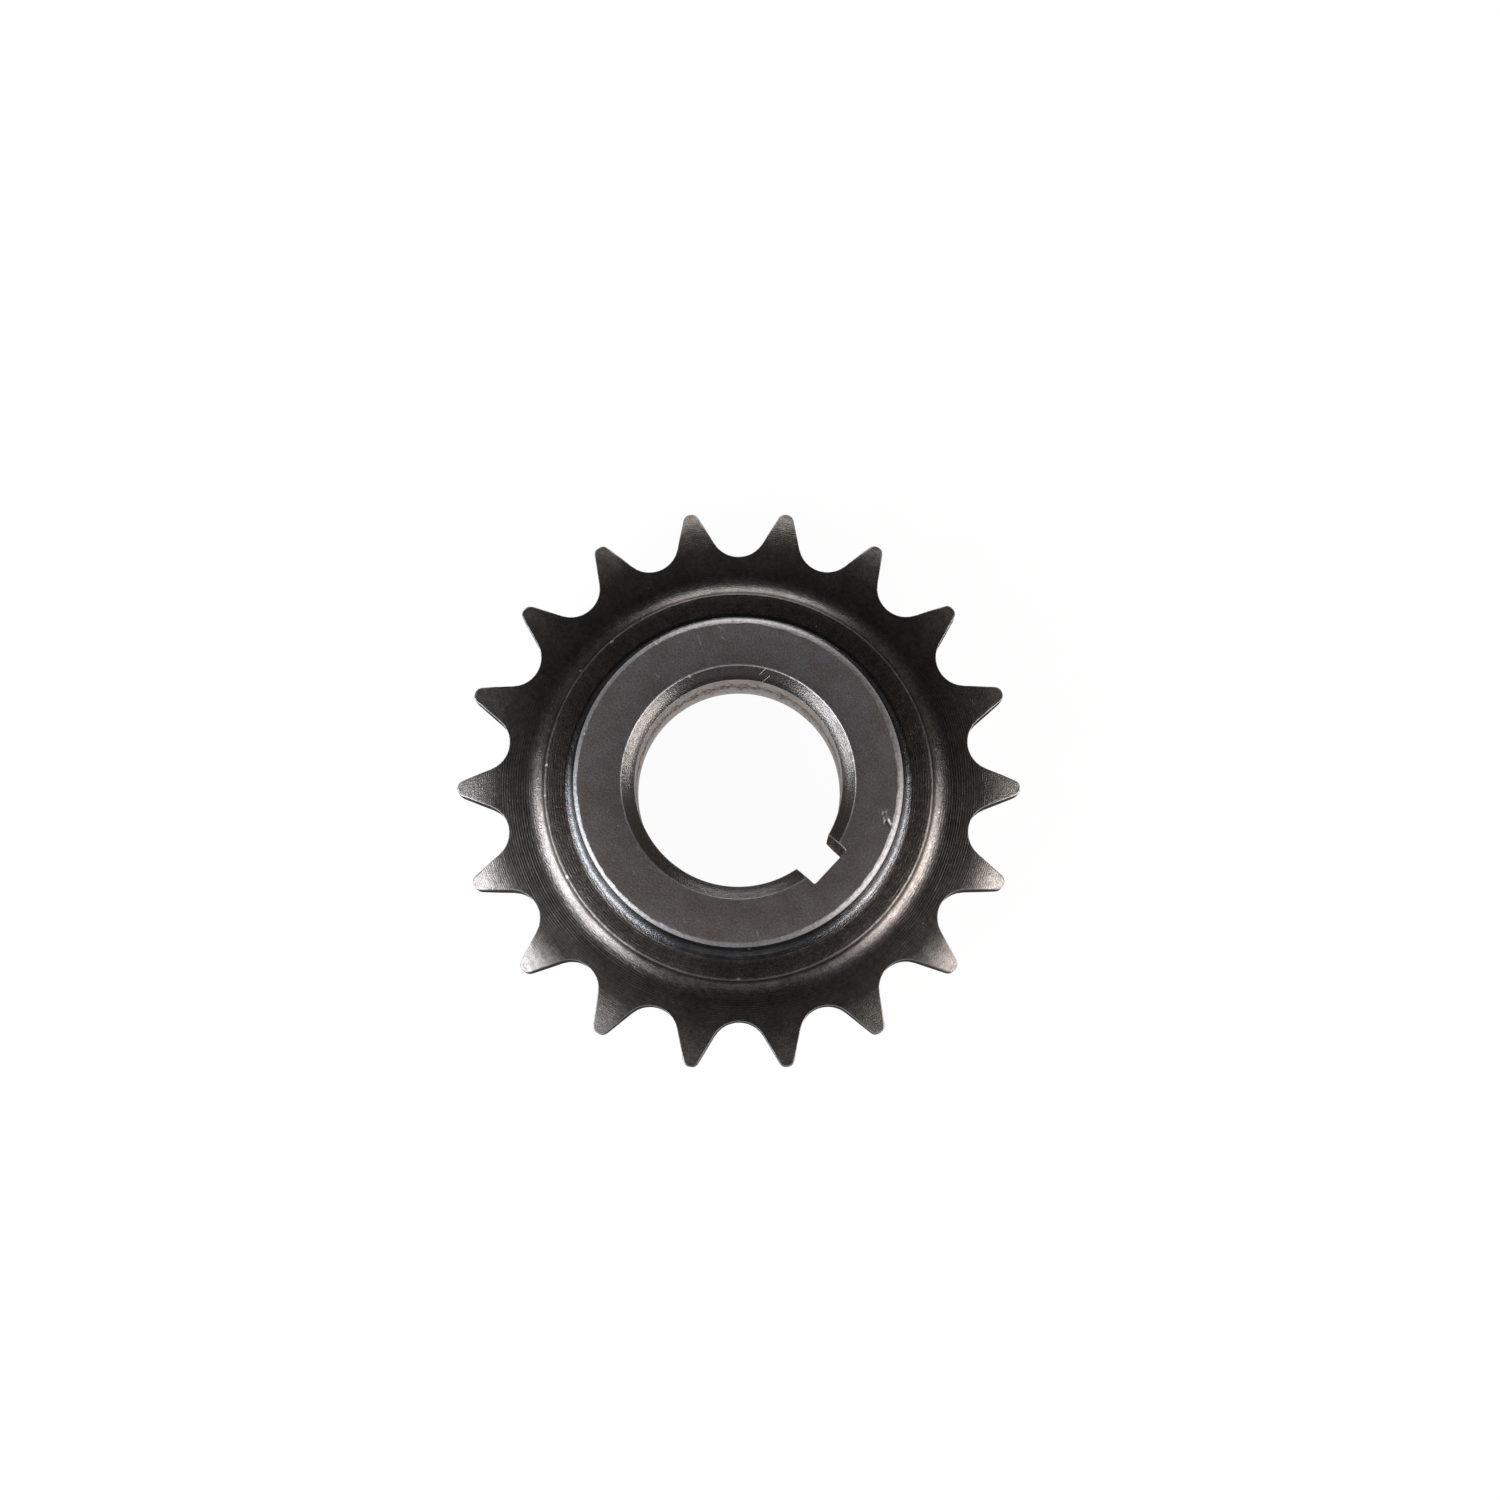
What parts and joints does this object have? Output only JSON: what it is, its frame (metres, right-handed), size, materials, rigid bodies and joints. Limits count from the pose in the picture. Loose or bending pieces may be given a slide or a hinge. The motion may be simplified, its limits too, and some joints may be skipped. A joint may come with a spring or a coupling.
{
  "type": "chain sprocket",
  "caption": "Flat toothed wheel for roller chain, with a stepped hub, a short rear boss and a chamfered bore with one keyway.",
  "frame": {"origin": "on the bore's axis, in the rear face of the boss, where the part rests", "axes": "+Z along the bore towards the hub's face, +X out through the middle of the keyway"},
  "size_m": [0.0788, 0.0782, 0.019],
  "materials": {
    "dark_steel": "turned and hobbed steel, dark with a thin oil-blackened film"
  },
  "bodies": {
    "root": {"sprocket": "dark_steel"}
  },
  "joints": []
}
